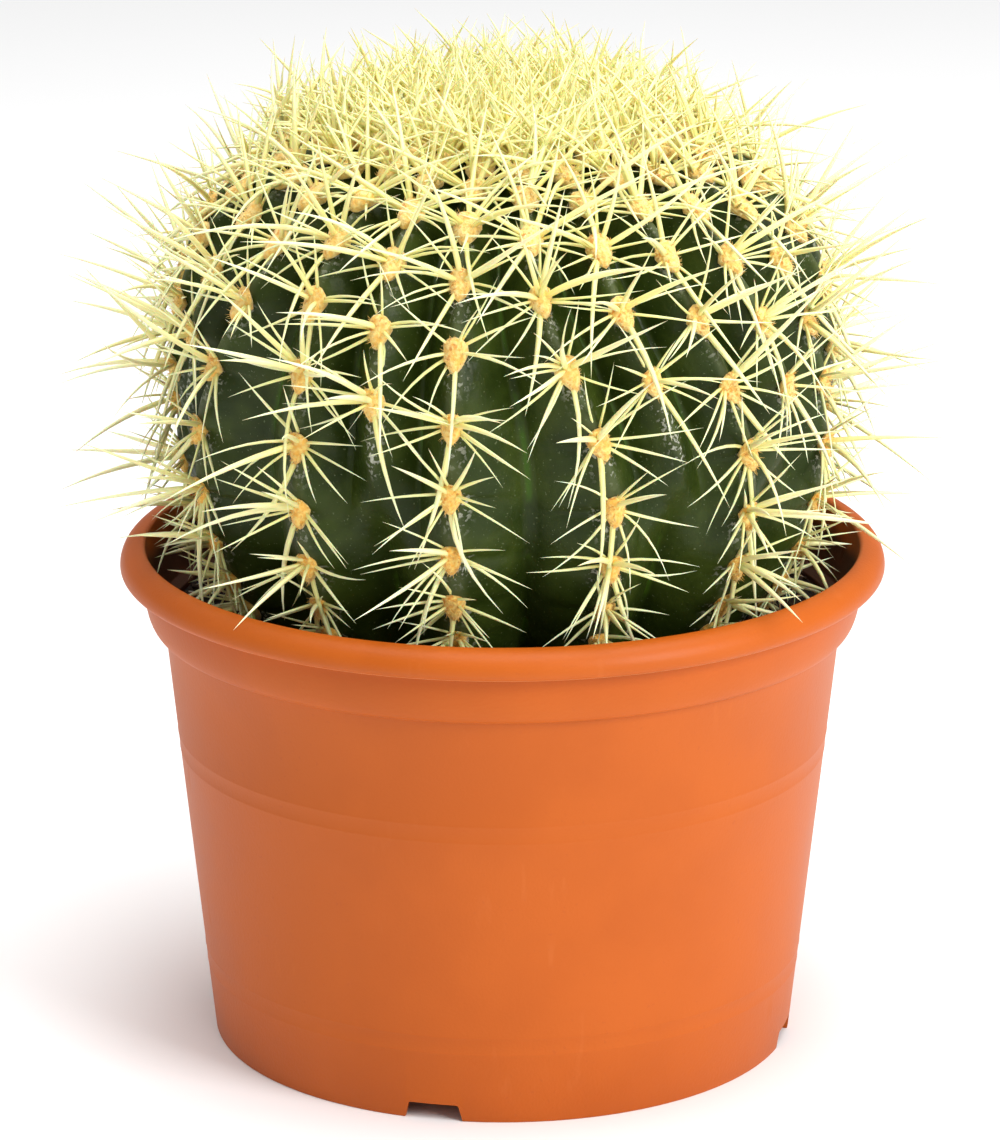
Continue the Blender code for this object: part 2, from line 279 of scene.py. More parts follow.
class Tone:
    """A number, vector or colour that varies over a surface, so that masks are written as sums."""

    def __init__(self, finish, socket):
        self.finish = finish
        self.socket = socket

    def math(self, operation, first, second):
        return self.finish.node("ShaderNodeMath", {"operation": operation}, {0: first, 1: second})

    def __add__(self, other):
        return self.math("ADD", self, other)

    def __radd__(self, other):
        return self.math("ADD", other, self)

    def __sub__(self, other):
        return self.math("SUBTRACT", self, other)

    def __rsub__(self, other):
        return self.math("SUBTRACT", other, self)

    def __mul__(self, other):
        return self.math("MULTIPLY", self, other)

    def __rmul__(self, other):
        return self.math("MULTIPLY", other, self)


class Finish:
    """A procedural material on a Principled shader."""

    def __init__(self, name, **constants):
        self.material = bpy.data.materials.new(name)
        self.material.use_nodes = True
        self.nodes = self.material.node_tree.nodes
        self.links = self.material.node_tree.links
        self.shader = self.nodes["Principled BSDF"]
        for socket, value in constants.items():
            self.paint(socket.replace("_", " "), value)

    def feed(self, socket, value):
        """Links a tone to a socket, or sets the socket's own value."""
        if isinstance(value, Tone):
            self.links.new(value.socket, socket)
        elif isinstance(value, tuple) and socket.type == "RGBA":
            socket.default_value = (*value, 1.0)
        else:
            socket.default_value = value

    def node(self, kind, settings=None, sockets=None, out=0):
        """Adds a node: its settings first, then its sockets' values or links; gives one output."""
        made = self.nodes.new(kind)
        for name, value in (settings or {}).items():
            if name == "stops":
                self.set_stops(made.color_ramp.elements, value)
            else:
                setattr(made, name, value)
        for socket, value in (sockets or {}).items():
            self.feed(made.inputs[socket], value)
        return Tone(self, made.outputs[out])

    def set_stops(self, elements, stops):
        while len(elements) < len(stops):
            elements.new(0.5)
        for element, (position, colour) in zip(elements, stops):
            element.position = position
            element.color = (*colour, 1.0)

    def paint(self, socket, value):
        self.feed(self.shader.inputs[socket], value)

    def place(self):
        """The point's own place on the object."""
        return self.node("ShaderNodeTexCoord", out="Object")

    def height(self, place):
        return self.node("ShaderNodeSeparateXYZ", {}, {0: place}, "Z")

    def attribute(self, name):
        return self.node("ShaderNodeAttribute", {"attribute_name": name}, out="Fac")

    def stretched(self, place, scale):
        return self.node(
            "ShaderNodeMapping", {"vector_type": "POINT"}, {"Vector": place, "Scale": scale})

    def cloud(self, place, size, detail=2.0):
        """Soft noise from about 0.3 to 0.7, whose blotches are of a size in metres."""
        return self.node(
            "ShaderNodeTexNoise", {"noise_dimensions": "3D"},
            {"Vector": place, "Scale": 1 / size, "Detail": detail}, "Fac")

    def between(self, value, low, high):
        """0 where a value is at the low limit, 1 at the high one, with a smooth run between."""
        return self.node(
            "ShaderNodeMapRange", {"interpolation_type": "SMOOTHSTEP"},
            {"Value": value, "From Min": low, "From Max": high})

    def blend(self, share, first, second):
        """A colour on the way from the first to the second."""
        return self.node("ShaderNodeMix", {"data_type": "RGBA"}, {0: share, 6: first, 7: second}, 2)

    def mottled(self, value, low, high, first, second):
        """A colour that goes from the first to the second as a value goes from low to high."""
        return self.blend(self.between(value, low, high), first, second)

    def ramp(self, value, stops):
        return self.node("ShaderNodeValToRGB", {"stops": stops}, {"Fac": value})

    def relief(self, height, distance):
        """Fine relief of a depth in metres."""
        bump = self.node("ShaderNodeBump", {}, {"Height": height, "Distance": distance}, "Normal")
        self.paint("Normal", bump)


def painted_inner_shade(finish, height, patches):
    """Painted shade on the inside of the wall, darkening it up to a ragged line under the lip."""
    inside = finish.between(finish.attribute("inside"), 0.5, 1.0)
    ragged = height + INNER_SHADE_RAGGED * patches
    return inside * finish.between(ragged, INNER_SHADE_TOP_Z, INNER_SHADE_TOP_Z - INNER_SHADE_SOFT)


def moulded_plastic():
    """Matt orange plastic, a little blotched, with rubbed patches and pale scuffs."""
    finish = Finish("orange moulded plastic", Specular_IOR_Level=0.26)
    place = finish.place()
    blotch = finish.cloud(place, 0.045, 3.0)
    speck = finish.cloud(place, 0.0016, 2.0)
    colour = finish.mottled(blotch, 0.35, 0.66, (0.48, 0.094, 0.0045), (0.515, 0.104, 0.0062))
    dust = finish.between(speck, 0.66, 0.74) * finish.between(blotch, 0.45, 0.6)
    colour = finish.blend(dust * 0.30, colour, (0.42, 0.075, 0.012))
    streaks = finish.cloud(finish.stretched(place, (1.0, 1.0, 0.16)), 0.0042, 3.0)
    rubbed = finish.cloud(place, 0.030, 2.0)
    scuff = finish.between(streaks, 0.60, 0.70) * finish.between(rubbed, 0.52, 0.66)
    colour = finish.blend(scuff * 0.06, colour, (0.8, 0.3, 0.12))
    level = (1.0, 1.0, 0.0)
    middle = finish.node("ShaderNodeVectorMath", {"operation": "MULTIPLY"}, {0: place, 1: level})
    radius = finish.node("ShaderNodeVectorMath", {"operation": "LENGTH"}, {0: middle}, "Value")
    height = finish.height(place)
    # Painted shade: the inside of the wall is darkened up to a ragged line under the lip.
    inner_shade_mask = painted_inner_shade(finish, height, rubbed)
    colour = finish.blend(inner_shade_mask, colour, (0.085, 0.022, 0.008))
    # Painted highlight: a thin pale line along the lip's lower edge, where light catches it.
    above_edge = height - (LIP_TOP_Z - LIP_DEEP)
    lip_edge_highlight = finish.between(above_edge, LIP_EDGE_HIGHLIGHT_HEIGHT, 0.6 * LIP_EDGE_HIGHLIGHT_HEIGHT)
    lip_edge_highlight = lip_edge_highlight * finish.between(radius, COLLAR_R, LIP_TUCK_R)
    finish.paint("Base Color", finish.blend(lip_edge_highlight * 0.6, colour, (0.85, 0.38, 0.16)))
    finish.paint("Roughness", 0.40 + 0.16 * blotch + 0.10 * scuff)
    grain = finish.cloud(place, 0.0009, 2.0)
    finish.relief(grain + 0.5 * speck, 0.00006)
    return finish


pot_shape = turned(pot_outline(), POT_STEPS)
round_edges(pot_shape, EDGE_ROUND, SHARP)
moulded_pot = placed("moulded_pot", mesh_from(pot_shape, "moulded_pot"))
cut_out(moulded_pot, placed("drainage_cutters", mesh_from(drainage_cutters(), "drainage_cutters")))
mark_inside(moulded_pot.data)
dress(moulded_pot, moulded_plastic())
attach(moulded_pot, "root")
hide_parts("pot")

# --------------------------------------------------------------
# Stem: one living globe, flattened on top, with 24 ribs at the crown of which 12 run down to
# the soil. Each rib's edge swells between its areoles and is notched where an areole sits.
# Waxy dark green skin, grey and scurfy along the ribs, with green light in the valleys.
# The grey at the ribs' edges is partly pale scurf and partly a painted highlight.
# --------------------------------------------------------------
STEM_R = 0.0980
STEM_WAIST_Z = 0.1970
STEM_TOP_Z = 0.2815
CROWN_DIP = 0.0030
DIP_R = 0.0360
STEM_BASE_Z = 0.1120
CROWN_POWER = 3.0
BASE_FALL = 0.1000
RIB_DEPTH = 0.0125
RIBS_FROM_R = 0.0040
RIBS_WHOLE_R = 0.0620
RIBS_FADE_Z = 0.1320
FLANK_POWER = 1.35
STEP = 0.0015
COLUMNS_PER_RIB = 16
STEM_ROWS = 240
RIBS = 24
OLD_RIBS = (0, 1, 3, 5, 7, 9, 11, 13, 16, 18, 21, 22)
CROWN_TURN = -8.5
BASE_TURN = -9.5
FRONT_CROWDING = 4.3
TURN_FROM_Z = 0.2620
TURN_TO_Z = 0.1880
YOUNG_FROM_Z = 0.1660
YOUNG_WHOLE_Z = 0.2080
FIRST_AREOLE = 0.0384
WIDEST_PITCH = 0.0211
WIDEST_AT = 0.1254
PITCH_LOSS = 1.62
LEAST_PITCH = 0.0090
STEPS_PER_PITCH = 4
OTHER_SPIRAL = range(6, 22)
LAST_AREOLE = 0.2170
YOUNG_LAST_AREOLE = 0.1490
YOUNG_WANDER = 0.0080
GOLDEN_ANGLE = 2.4
HEART_R = 0.0150
SWELL = 0.0024
SWELL_MEAN = 0.40
SWELL_RISE = 0.80
SWELL_FALL = 0.35
CREASE_DROOP = 0.0045
SKIN_LUMP = 0.00045
LUMP_SIZE = 0.0110


def smooth_share(value, at_nought, at_one):
    """0 at one limit and 1 at the other, with a soft start and end between them."""
    share = np.clip((value - at_nought) / (at_one - at_nought), 0.0, 1.0)
    return share * share * (3 - 2 * share)


def stem_outline():
    """Arc length, radius and height along the rib edges, from the crown's centre to the base's."""
    angles = np.linspace(0, pi / 2, 400)
    crown_r = STEM_R * np.sin(angles) ** (2 / CROWN_POWER)
    crown_z = STEM_WAIST_Z + (STEM_TOP_Z - STEM_WAIST_Z) * np.cos(angles) ** (2 / CROWN_POWER)
    crown_z -= CROWN_DIP * np.maximum(0.0, 1 - (crown_r / DIP_R) ** 2) ** 2
    fall = np.linspace(0, STEM_WAIST_Z - STEM_BASE_Z, 200)[1:]
    base_r = STEM_R * np.sqrt(1 - (fall / BASE_FALL) ** 2)
    radius = np.concatenate([crown_r, base_r, [0.0]])
    height = np.concatenate([crown_z, STEM_WAIST_Z - fall, [STEM_BASE_Z]])
    steps = np.hypot(np.diff(radius), np.diff(height))
    return np.concatenate([[0.0], np.cumsum(steps)]), radius, height


OUTLINE = stem_outline()


def on_outline(length):
    """Radius and height at a length along the outline, and the outward normal there."""
    lengths, radius, height = OUTLINE
    ahead = np.minimum(length + STEP, lengths[-1])
    behind = np.maximum(length - STEP, 0.0)
    run_r = np.interp(ahead, lengths, radius) - np.interp(behind, lengths, radius)
    run_z = np.interp(ahead, lengths, height) - np.interp(behind, lengths, height)
    size = np.hypot(run_r, run_z)
    here_r = np.interp(length, lengths, radius)
    here_z = np.interp(length, lengths, height)
    return here_r, here_z, -run_z / size, run_r / size


def bearing(rib, height):
    """Bearing of a place in the rib pattern: the ribs lean as the old ones spread lower down."""
    old = np.array((OLD_RIBS[-1] - RIBS, *OLD_RIBS, RIBS, RIBS + OLD_RIBS[1]))
    number = np.arange(-1, len(OLD_RIBS) + 2)
    at_base = BASE_TURN + 360 / len(OLD_RIBS) * np.interp(rib, old, number)
    at_crown = CROWN_TURN + 360 / RIBS * rib
    even = at_crown + (at_base - at_crown) * smooth_share(height, TURN_FROM_Z, TURN_TO_Z)
    return even - FRONT_CROWDING * np.sin(np.radians(even))


def valley_share(rib, height):
    """0 on the edge of a rib and 1 in the valley, with the young ribs fading out lower down."""
    among_all = (2 * np.abs(rib - np.round(rib))) ** FLANK_POWER
    ends = np.array(sorted((*OLD_RIBS, RIBS, OLD_RIBS[-1] - RIBS)))
    after = np.minimum(np.searchsorted(ends, rib + 1e-9, side="right"), len(ends) - 1)
    left, right = ends[after - 1], ends[after]
    nearest_end = np.minimum(rib - left, right - rib)
    among_old = np.clip(2 * nearest_end / (right - left), 0.0, 1.0) ** FLANK_POWER
    young = smooth_share(height, YOUNG_FROM_Z, YOUNG_WHOLE_Z)
    return among_old + (among_all - among_old) * young


def pitch_at(place):
    """Distance down a rib from one areole to the next."""
    return np.maximum(LEAST_PITCH, WIDEST_PITCH - PITCH_LOSS * (place - WIDEST_AT) ** 2)


def spiral_turn(rib):
    """Steps of a quarter pitch by which a rib's areoles stand below those of the first rib."""
    return rib + (STEPS_PER_PITCH // 2 if rib in OTHER_SPIRAL else 0)


def areole_places(rib):
    """Lengths along the stem at which one rib has its areoles, from the crown down. Each rib's
    stand a quarter of a pitch below its neighbour's, and crowd together towards both ends."""
    turn = spiral_turn(rib)
    wander = YOUNG_WANDER * sin(rib * GOLDEN_ANGLE)
    lowest = LAST_AREOLE if rib in OLD_RIBS else YOUNG_LAST_AREOLE + wander
    places = []
    place, step = FIRST_AREOLE, 0
    while place < lowest:
        if (step - turn) % STEPS_PER_PITCH == 0:
            places.append(place)
        place += (WIDEST_PITCH - PITCH_LOSS * (place - WIDEST_AT) ** 2) / STEPS_PER_PITCH
        step += 1
    return places


def newest_places(rib):
    """Lengths at which one rib's newest areoles lie, still in the crown's wool."""
    turn = spiral_turn(rib)
    places = []
    place, step = FIRST_AREOLE, 0
    while place > HEART_R:
        place -= float(pitch_at(place)) / STEPS_PER_PITCH
        step -= 1
        if (step - turn) % STEPS_PER_PITCH == 0:
            places.append(place)
    return places[::-1]


AREOLES = [newest_places(rib) + areole_places(rib) for rib in range(RIBS)]


def share_to_next(rib, length):
    """How far a place is on its way down from one areole, 0, to the next on its rib, 1."""
    share = np.ones(len(length))
    nearest = np.round(rib).astype(int) % RIBS
    for number, places in enumerate(AREOLES):
        mine = nearest == number
        share[mine] = np.interp(length[mine], places, np.arange(len(places))) % 1.0
    return share


def swelling(rib, length):
    """How far the skin stands out: ribs swell below each areole and drop to a notch at the next."""
    nearest = np.round(rib).astype(int)
    aside = 2 * np.abs(rib - nearest)
    peak_at = SWELL_RISE / (SWELL_RISE + SWELL_FALL)
    peak = peak_at ** SWELL_RISE * (1 - peak_at) ** SWELL_FALL
    share = share_to_next(rib, length - CREASE_DROOP * aside)
    swell = share ** SWELL_RISE * (1 - share) ** SWELL_FALL / peak
    size = SWELL * pitch_at(length) / WIDEST_PITCH
    _, height, _, _ = on_outline(length)
    young = np.isin(nearest % RIBS, OLD_RIBS, invert=True)
    fade = np.where(young, smooth_share(height, YOUNG_FROM_Z, YOUNG_WHOLE_Z), 1.0)
    return size * (swell - SWELL_MEAN) * (1 - aside ** 2) * fade


def stem_points(rib, length, lift=0.0):
    """Points on the stem: rib counts round it, and length runs down from the crown's centre."""
    radius, height, out_r, out_z = on_outline(length)
    depth = RIB_DEPTH * smooth_share(radius, RIBS_FROM_R, RIBS_WHOLE_R)
    depth = depth * smooth_share(height, STEM_BASE_Z, RIBS_FADE_Z)
    carved = lift - depth * valley_share(rib % RIBS, height)
    turn = np.radians(bearing(rib % RIBS, height))
    out = radius + carved * out_r
    return np.stack([out * np.sin(turn), -out * np.cos(turn), height + carved * out_z], axis=-1)


def stem_mesh():
    """The fine skin, with how deep in a valley and how far below an areole each point lies."""
    shape = bmesh.new()
    columns = RIBS * COLUMNS_PER_RIB
    bmesh.ops.create_uvsphere(shape, u_segments=columns, v_segments=STEM_ROWS, radius=1.0)
    globe = np.array([corner.co for corner in shape.verts])
    column = np.round((np.arctan2(globe[:, 0], -globe[:, 1]) / (2 * pi) % 1.0) * columns)
    rib = column / COLUMNS_PER_RIB
    length = np.arccos(np.clip(globe[:, 2], -1.0, 1.0)) / pi * OUTLINE[0][-1]
    at_pole = np.abs(globe[:, 2]) > 1 - 1e-7
    rib[at_pole] = 0.0
    flat = stem_points(rib, length)
    lumps = np.array([noise.noise(Vector(point) / LUMP_SIZE) for point in flat])
    away = smooth_share(on_outline(length)[0], 0.0, HEART_R)
    lift = (swelling(rib, length) + SKIN_LUMP * lumps) * away
    for corner, point in zip(shape.verts, stem_points(rib, length, lift)):
        corner.co = point
    mesh = mesh_from(shape, "ribbed_stem")
    write_attribute(mesh, "valley", valley_share(rib % RIBS, on_outline(length)[1]))
    write_attribute(mesh, "below_areole", share_to_next(rib, length))
    return mesh


def waxy_skin():
    """Glossy dark green skin, its rib edges grey with scurf and a painted highlight, pale scurf below
    the areoles.
    """
    finish = Finish("waxy green skin", Specular_IOR_Level=0.17)
    place = finish.place()
    valley = finish.attribute("valley")
    below = finish.attribute("below_areole")
    cloud = finish.cloud(place, 0.018, 3.0)
    fine = finish.cloud(place, 0.0022, 3.0)
    colour = finish.mottled(cloud, 0.35, 0.68, (0.019, 0.033, 0.0035), (0.041, 0.062, 0.008))
    lit = finish.between(valley, 0.90, 1.0) * finish.between(cloud, 0.42, 0.60)
    colour = finish.blend(lit * 0.75, colour, (0.05, 0.125, 0.006))
    # The ribs' edges: grey that is partly pale scurf and partly a painted highlight.
    edge = finish.between(valley, 0.13, 0.0)
    colour = finish.blend(edge * (0.25 + 0.75 * fine), colour, (0.095, 0.115, 0.05))
    scurf_zone = finish.between(valley, 0.22, 0.02) * finish.between(below, 0.75, 0.15)
    scurf = finish.between(finish.cloud(place, 0.0013, 4.0), 0.53, 0.61) * scurf_zone
    colour = finish.blend(scurf * 0.85, colour, (0.56, 0.57, 0.48))
    dots = finish.between(finish.cloud(place, 0.0008, 1.0), 0.69, 0.76)
    colour = finish.blend(dots * 0.45, colour, (0.2, 0.24, 0.13))
    finish.paint("Base Color", colour)
    finish.paint("Roughness", 0.27 + 0.20 * cloud + 0.35 * scurf + 0.12 * edge)
    finish.relief(0.6 * fine + 0.8 * scurf + 0.5 * cloud, 0.00035)
    return finish


ribbed_stem = placed("ribbed_stem", stem_mesh())
dress(ribbed_stem, waxy_skin(), ALL_SMOOTH)
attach(ribbed_stem, "root")
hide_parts("cactus_stem")

# --------------------------------------------------------------
# Potting mix: peat and grit filled in round the stem's base and pressed down, with loose
# crumbs, bits of bark and a little white perlite lying on its top.
# --------------------------------------------------------------
mix_low, mix_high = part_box("potting_mix")
GAP = 0.0003
MIX_CRUST = 0.0022
CRUST_SIZE = 0.0100
MIX_RINGS = 64
MIX_STEPS = 160
CRUMBS = 900
CRUMBS_FROM_R = 0.0550
CRUMBS_TO_R = WALL_TOP_R - 0.0040
LEAST_CRUMB = 0.0004
MOST_CRUMB = 0.0011
BIG_CRUMB = 2.2
BIG_CRUMB_SHARE = 0.12
CRUMB_SEED = 11


def stem_underside():
    """A lookup of the stem's skin from straight below."""
    shape = bmesh.new()
    shape.from_mesh(ribbed_stem.data)
    tree = BVHTree.FromBMesh(shape)
    shape.free()
    return tree


UNDERSIDE = stem_underside()


def mix_height(x, y):
    """Height of the mix: a crumbly crust, let in under the stem where the stem stands in it."""
    crust = noise.fractal(Vector((x, y, 0)) / CRUST_SIZE, 0.8, 2.2, 4)
    top = mix_high.z + MIX_CRUST * (0.4 + crust)
    hit, _, _, _ = UNDERSIDE.ray_cast(Vector((x, y, mix_low.z)), Vector((0, 0, 1)))
    return min(top, hit.z - GAP) if hit and hit.z < top else top


def mix_mesh():
    bottom = mix_low.z
    inner = WALL + 2 * GAP
    top_r = WALL_TOP_R - inner
    rings = [(top_r * (1 - n / MIX_RINGS), mix_high.z) for n in range(MIX_RINGS + 1)]
    shape = turned([
        (0.0, bottom),
        (wall_radius(bottom) - inner, bottom),
        (top_r, WALL_TOP_Z - 2 * WALL),
        *rings,
    ], MIX_STEPS)
    for corner in shape.verts:
        if corner.co.z > mix_high.z - 1e-6 and corner.co.xy.length < top_r - 1e-6:
            corner.co.z = mix_height(corner.co.x, corner.co.y)
    return mesh_from(shape, "mix_fill")


def crumb_mesh():
    """Loose crumbs that lie on the mix, each a squashed and roughened lump."""
    dice = Random(CRUMB_SEED)
    shape = bmesh.new()
    shade = []
    while len(shade) < CRUMBS:
        spot = compass(dice.uniform(0, 360), dice.uniform(CRUMBS_FROM_R, CRUMBS_TO_R), 0)
        ground = mix_height(spot.x, spot.y)
        if ground < mix_high.z:
            continue
        size = dice.uniform(LEAST_CRUMB, MOST_CRUMB)
        size *= BIG_CRUMB if dice.random() < BIG_CRUMB_SHARE else 1.0
        lump = bmesh.ops.create_icosphere(shape, subdivisions=1, radius=size)["verts"]
        for corner in lump:
            corner.co *= dice.uniform(0.7, 1.15)
        stretch = (dice.uniform(0.8, 1.9), 1.0, dice.uniform(0.5, 0.9))
        bmesh.ops.scale(shape, verts=lump, vec=stretch)
        turn = Matrix.Rotation(dice.uniform(0, 2 * pi), 3, "Z")
        bmesh.ops.rotate(shape, verts=lump, cent=(0, 0, 0), matrix=turn)
        bmesh.ops.translate(shape, verts=lump, vec=(spot.x, spot.y, ground + 0.3 * size))
        shade.append(dice.random())
    mesh = mesh_from(shape, "mix_crumbs")
    write_attribute(mesh, "crumb_shade", np.repeat(shade, len(mesh.vertices) // CRUMBS))
    return mesh


def damp_peat(name, pale_share):
    """Dark brown peat with lighter fibres; a share of the loose crumbs is white perlite."""
    finish = Finish(name, Specular_IOR_Level=0.25)
    place = finish.place()
    crumb = finish.cloud(place, 0.0028, 5.0)
    colour = finish.mottled(crumb, 0.38, 0.66, (0.01, 0.0055, 0.0035), (0.056, 0.032, 0.019))
    if pale_share:
        shade = finish.attribute("crumb_shade")
        colour = finish.blend(finish.between(shade, 0.5, 1.0) * 0.5, colour, (0.095, 0.055, 0.03))
        perlite = finish.between(shade, 1 - pale_share, 1.001 - pale_share)
        colour = finish.blend(perlite, colour, (0.42, 0.39, 0.33))
    finish.paint("Base Color", colour)
    finish.paint("Roughness", 0.80 + 0.18 * crumb)
    finish.relief(crumb, 0.0012)
    return finish


mix_fill = placed("mix_fill", mix_mesh())
dress(mix_fill, damp_peat("damp peat", 0))
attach(mix_fill, "root")
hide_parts("potting_mix")

mix_crumbs = placed("mix_crumbs", crumb_mesh())
dress(mix_crumbs, damp_peat("loose crumbs", 0.03))
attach(mix_crumbs, "root")

# --------------------------------------------------------------
# Areoles: a pad of short felt in each notch of a rib's edge, blunt above and pointed below,
# cream and thick near the crown, thinner and more orange lower down as it ages.
# --------------------------------------------------------------
PAD_LENGTH = 0.0104
PAD_WIDTH = 0.0070
PAD_HEIGHT = 0.0029
PAD_SINK = 0.0014
PAD_TAPER = 0.42
PAD_DROP = 0.22
PAD_LUMP = 0.10
PAD_SIZE_NEW = 1.12
PAD_SIZE_LOSS = 0.26
PAD_SIDES = 14
PAD_RINGS = 8
FIBRES = 64
FIBRE_LENGTH = 0.0013
FIBRE_R = 0.00009
FIBRE_UPPER = 0.45
NEW_FELT_TO = 0.0300
OLD_FELT_FROM = 0.2000
STRAND_WAIST = 2.1
STRAND_TIP = 0.03
FELT_SEED = 23
FELT_SHEEN = {"Sheen_Weight": 0.35, "Sheen_Roughness": 0.5, "Specular_IOR_Level": 0.2}


def unit(vector):
    return vector / np.linalg.norm(vector, axis=-1, keepdims=True)


def rib_axes(rib, length):
    """The skin at a rib's edge, and its directions outward, down the rib and across it."""
    ribs = np.full(3, float(rib))
    lengths = np.array([length - STEP, length, length + STEP])
    above, here, under = stem_points(ribs, lengths, 0.0)
    notch = swelling(ribs[:1], lengths[1:2])[0]
    down = unit(under - above)
    _, _, out_r, out_z = on_outline(length)
    level = unit(here * (1, 1, 0))
    across = unit(np.cross(down, level * out_r + np.array((0, 0, out_z))))
    out = unit(np.cross(across, down))
    return here + out * notch, out, down, across


def age_of(length):
    """0 for a new areole at the crown and 1 for an old one near the soil."""
    return float(smooth_share(length, NEW_FELT_TO, OLD_FELT_FROM))


def strand_blank(sides, cuts):
    """A straight strand, one unit round and one long, ready to be bent and drawn to a point."""
    shape = bmesh.new()
    bmesh.ops.create_cone(
        shape, cap_ends=True, cap_tris=False, segments=sides, radius1=1.0, radius2=1.0, depth=1.0,
        matrix=Matrix.Translation((0, 0, 0.5)))
    lengthwise = [e for e in shape.edges if abs(e.verts[0].co.z - e.verts[1].co.z) > 0.5]
    bmesh.ops.subdivide_edges(shape, edges=lengthwise, cuts=cuts, use_grid_fill=True)
    return mesh_from(shape, "strand_blank")


def strands(name, blank, roots, ways, bends, lengths, thicks):
    """One mesh of many strands: each leaves its root along its way, bends aside on a square law,
    and thins to its tip. Every point is marked with how far along its strand it lies."""
    shape = bmesh.new()
    for _ in range(len(roots)):
        shape.from_mesh(blank)
    mesh = mesh_as_is(shape, name)
    form = np.array([corner.co for corner in blank.vertices])
    along = form[:, 2][None, :, None]
    roots, ways, bends = (np.asarray(rows)[:, None, :] for rows in (roots, ways, bends))
    lengths, thicks = (np.asarray(column)[:, None, None] for column in (lengths, thicks))
    middle = roots + lengths * (ways * along + bends * along ** 2)
    run = unit(ways + 2 * bends * along)
    steady = np.where(np.abs(ways[:, :, 2:]) < 0.8, (0.0, 0.0, 1.0), (1.0, 0.0, 0.0))
    side = unit(np.cross(steady, run))
    top = np.cross(run, side)
    taper = np.maximum(STRAND_TIP, 1 - along ** STRAND_WAIST)
    spread = thicks / 2 * taper
    points = middle + spread * (side * form[:, 0][None, :, None] + top * form[:, 1][None, :, None])
    mesh.vertices.foreach_set("co", points.astype(np.float32).ravel())
    mesh.update()
    write_attribute(mesh, "along", np.broadcast_to(form[:, 2], (len(roots), len(form))))
    return mesh


FIBRE_BLANK = strand_blank(3, 1)


def with_fibres(shape, name, roots, ways, bends, lengths):
    """Ends a shape as a mesh, with fine fibres standing on it."""
    thicks = np.full(len(roots), 2 * FIBRE_R)
    shape.from_mesh(strands("fibres", FIBRE_BLANK, roots, ways, bends, lengths, thicks))
    mesh = mesh_as_is(shape, name)
    mesh.attributes.remove(mesh.attributes["along"])
    return mesh


def pad_bed(rib, place):
    """A pad's bed: gives the point that lies aside, down and out of the areole along the skin."""
    spots = np.linspace(-0.8 * PAD_LENGTH, 0.8 * PAD_LENGTH, 7)
    axes = [np.array(each) for each in zip(*(rib_axes(rib, place + spot) for spot in spots))]

    def point(aside, along, rise):
        here, out, _, across = (
            np.stack([np.interp(along, spots, each[:, n]) for n in range(3)], axis=-1)
            for each in axes)
        return here + across * np.asarray(aside)[..., None] + out * np.asarray(rise)[..., None]

    return point


def felt_mesh(rib, places, dice):
    """All the pads of one rib, with the short fibres that stand on them, as one mesh."""
    shape = bmesh.new()
    upper, age = [], []
    roots, ways, bends, lengths = [], [], [], []
    for place in places:
        old = age_of(place)
        size = (PAD_SIZE_NEW - PAD_SIZE_LOSS * old) * dice.uniform(0.92, 1.08)
        half = np.array((PAD_WIDTH / 2, PAD_LENGTH / 2)) * size
        height = PAD_HEIGHT * size
        bed = pad_bed(rib, place)
        pad = bmesh.ops.create_uvsphere(
            shape, u_segments=PAD_SIDES, v_segments=PAD_RINGS, radius=1.0)["verts"]
        ball = np.array([corner.co for corner in pad])
        own = Vector((0, 0, 40 * place))
        lump = 1 + PAD_LUMP * np.array([noise.noise(Vector(spot * 2.3) + own) for spot in ball])
        x, y, z = ball.T
        rise = np.where(z > 0, z * height * lump, z * PAD_SINK)
        wide, long = half[0] * x * (1 - PAD_TAPER * y), half[1] * (y + PAD_DROP)
        points = bed(wide * lump, long * lump, rise)
        for corner, point in zip(pad, points):
            corner.co = point
        upper.extend(0.5 - 0.5 * y)
        age.extend([old] * len(ball))
        turn = np.array([dice.uniform(0, 2 * pi) for _ in range(FIBRES)])
        reach = np.array([dice.random() ** 0.5 for _ in range(FIBRES)])
        lean = np.array([(dice.gauss(0, 0.3), dice.gauss(0, 0.3)) for _ in range(FIBRES)])
        lean = lean * FIBRE_LENGTH
        x, y = np.cos(turn) * reach, np.sin(turn) * reach
        wide, long = half[0] * x * (1 - PAD_TAPER * y), half[1] * (y + PAD_DROP)
        rise = height * (1 - reach * reach) ** 0.5 * 0.9
        root = bed(wide, long, rise)
        tip = bed(
            wide + 0.8 * FIBRE_LENGTH * x + lean[:, 0], long + 0.8 * FIBRE_LENGTH * y + lean[:, 1],
            rise + FIBRE_LENGTH)
        roots.extend(root)
        ways.extend(unit(tip - root))
        for _ in range(FIBRES):
            bends.append((dice.gauss(0, 0.2), dice.gauss(0, 0.2), dice.gauss(0, 0.2)))
            lengths.append(FIBRE_LENGTH * dice.uniform(0.6, 1.3))
    bmesh.ops.recalc_face_normals(shape, faces=shape.faces)
    mesh = with_fibres(shape, f"felt_{rib}", roots, ways, bends, lengths)
    per_fibre = len(FIBRE_BLANK.vertices)
    fibre_age = np.repeat([age_of(place) for place in places], FIBRES * per_fibre)
    write_attribute(mesh, "upper", np.concatenate([upper, np.full(len(fibre_age), FIBRE_UPPER)]))
    write_attribute(mesh, "felt_age", np.concatenate([age, fibre_age]))
    return mesh


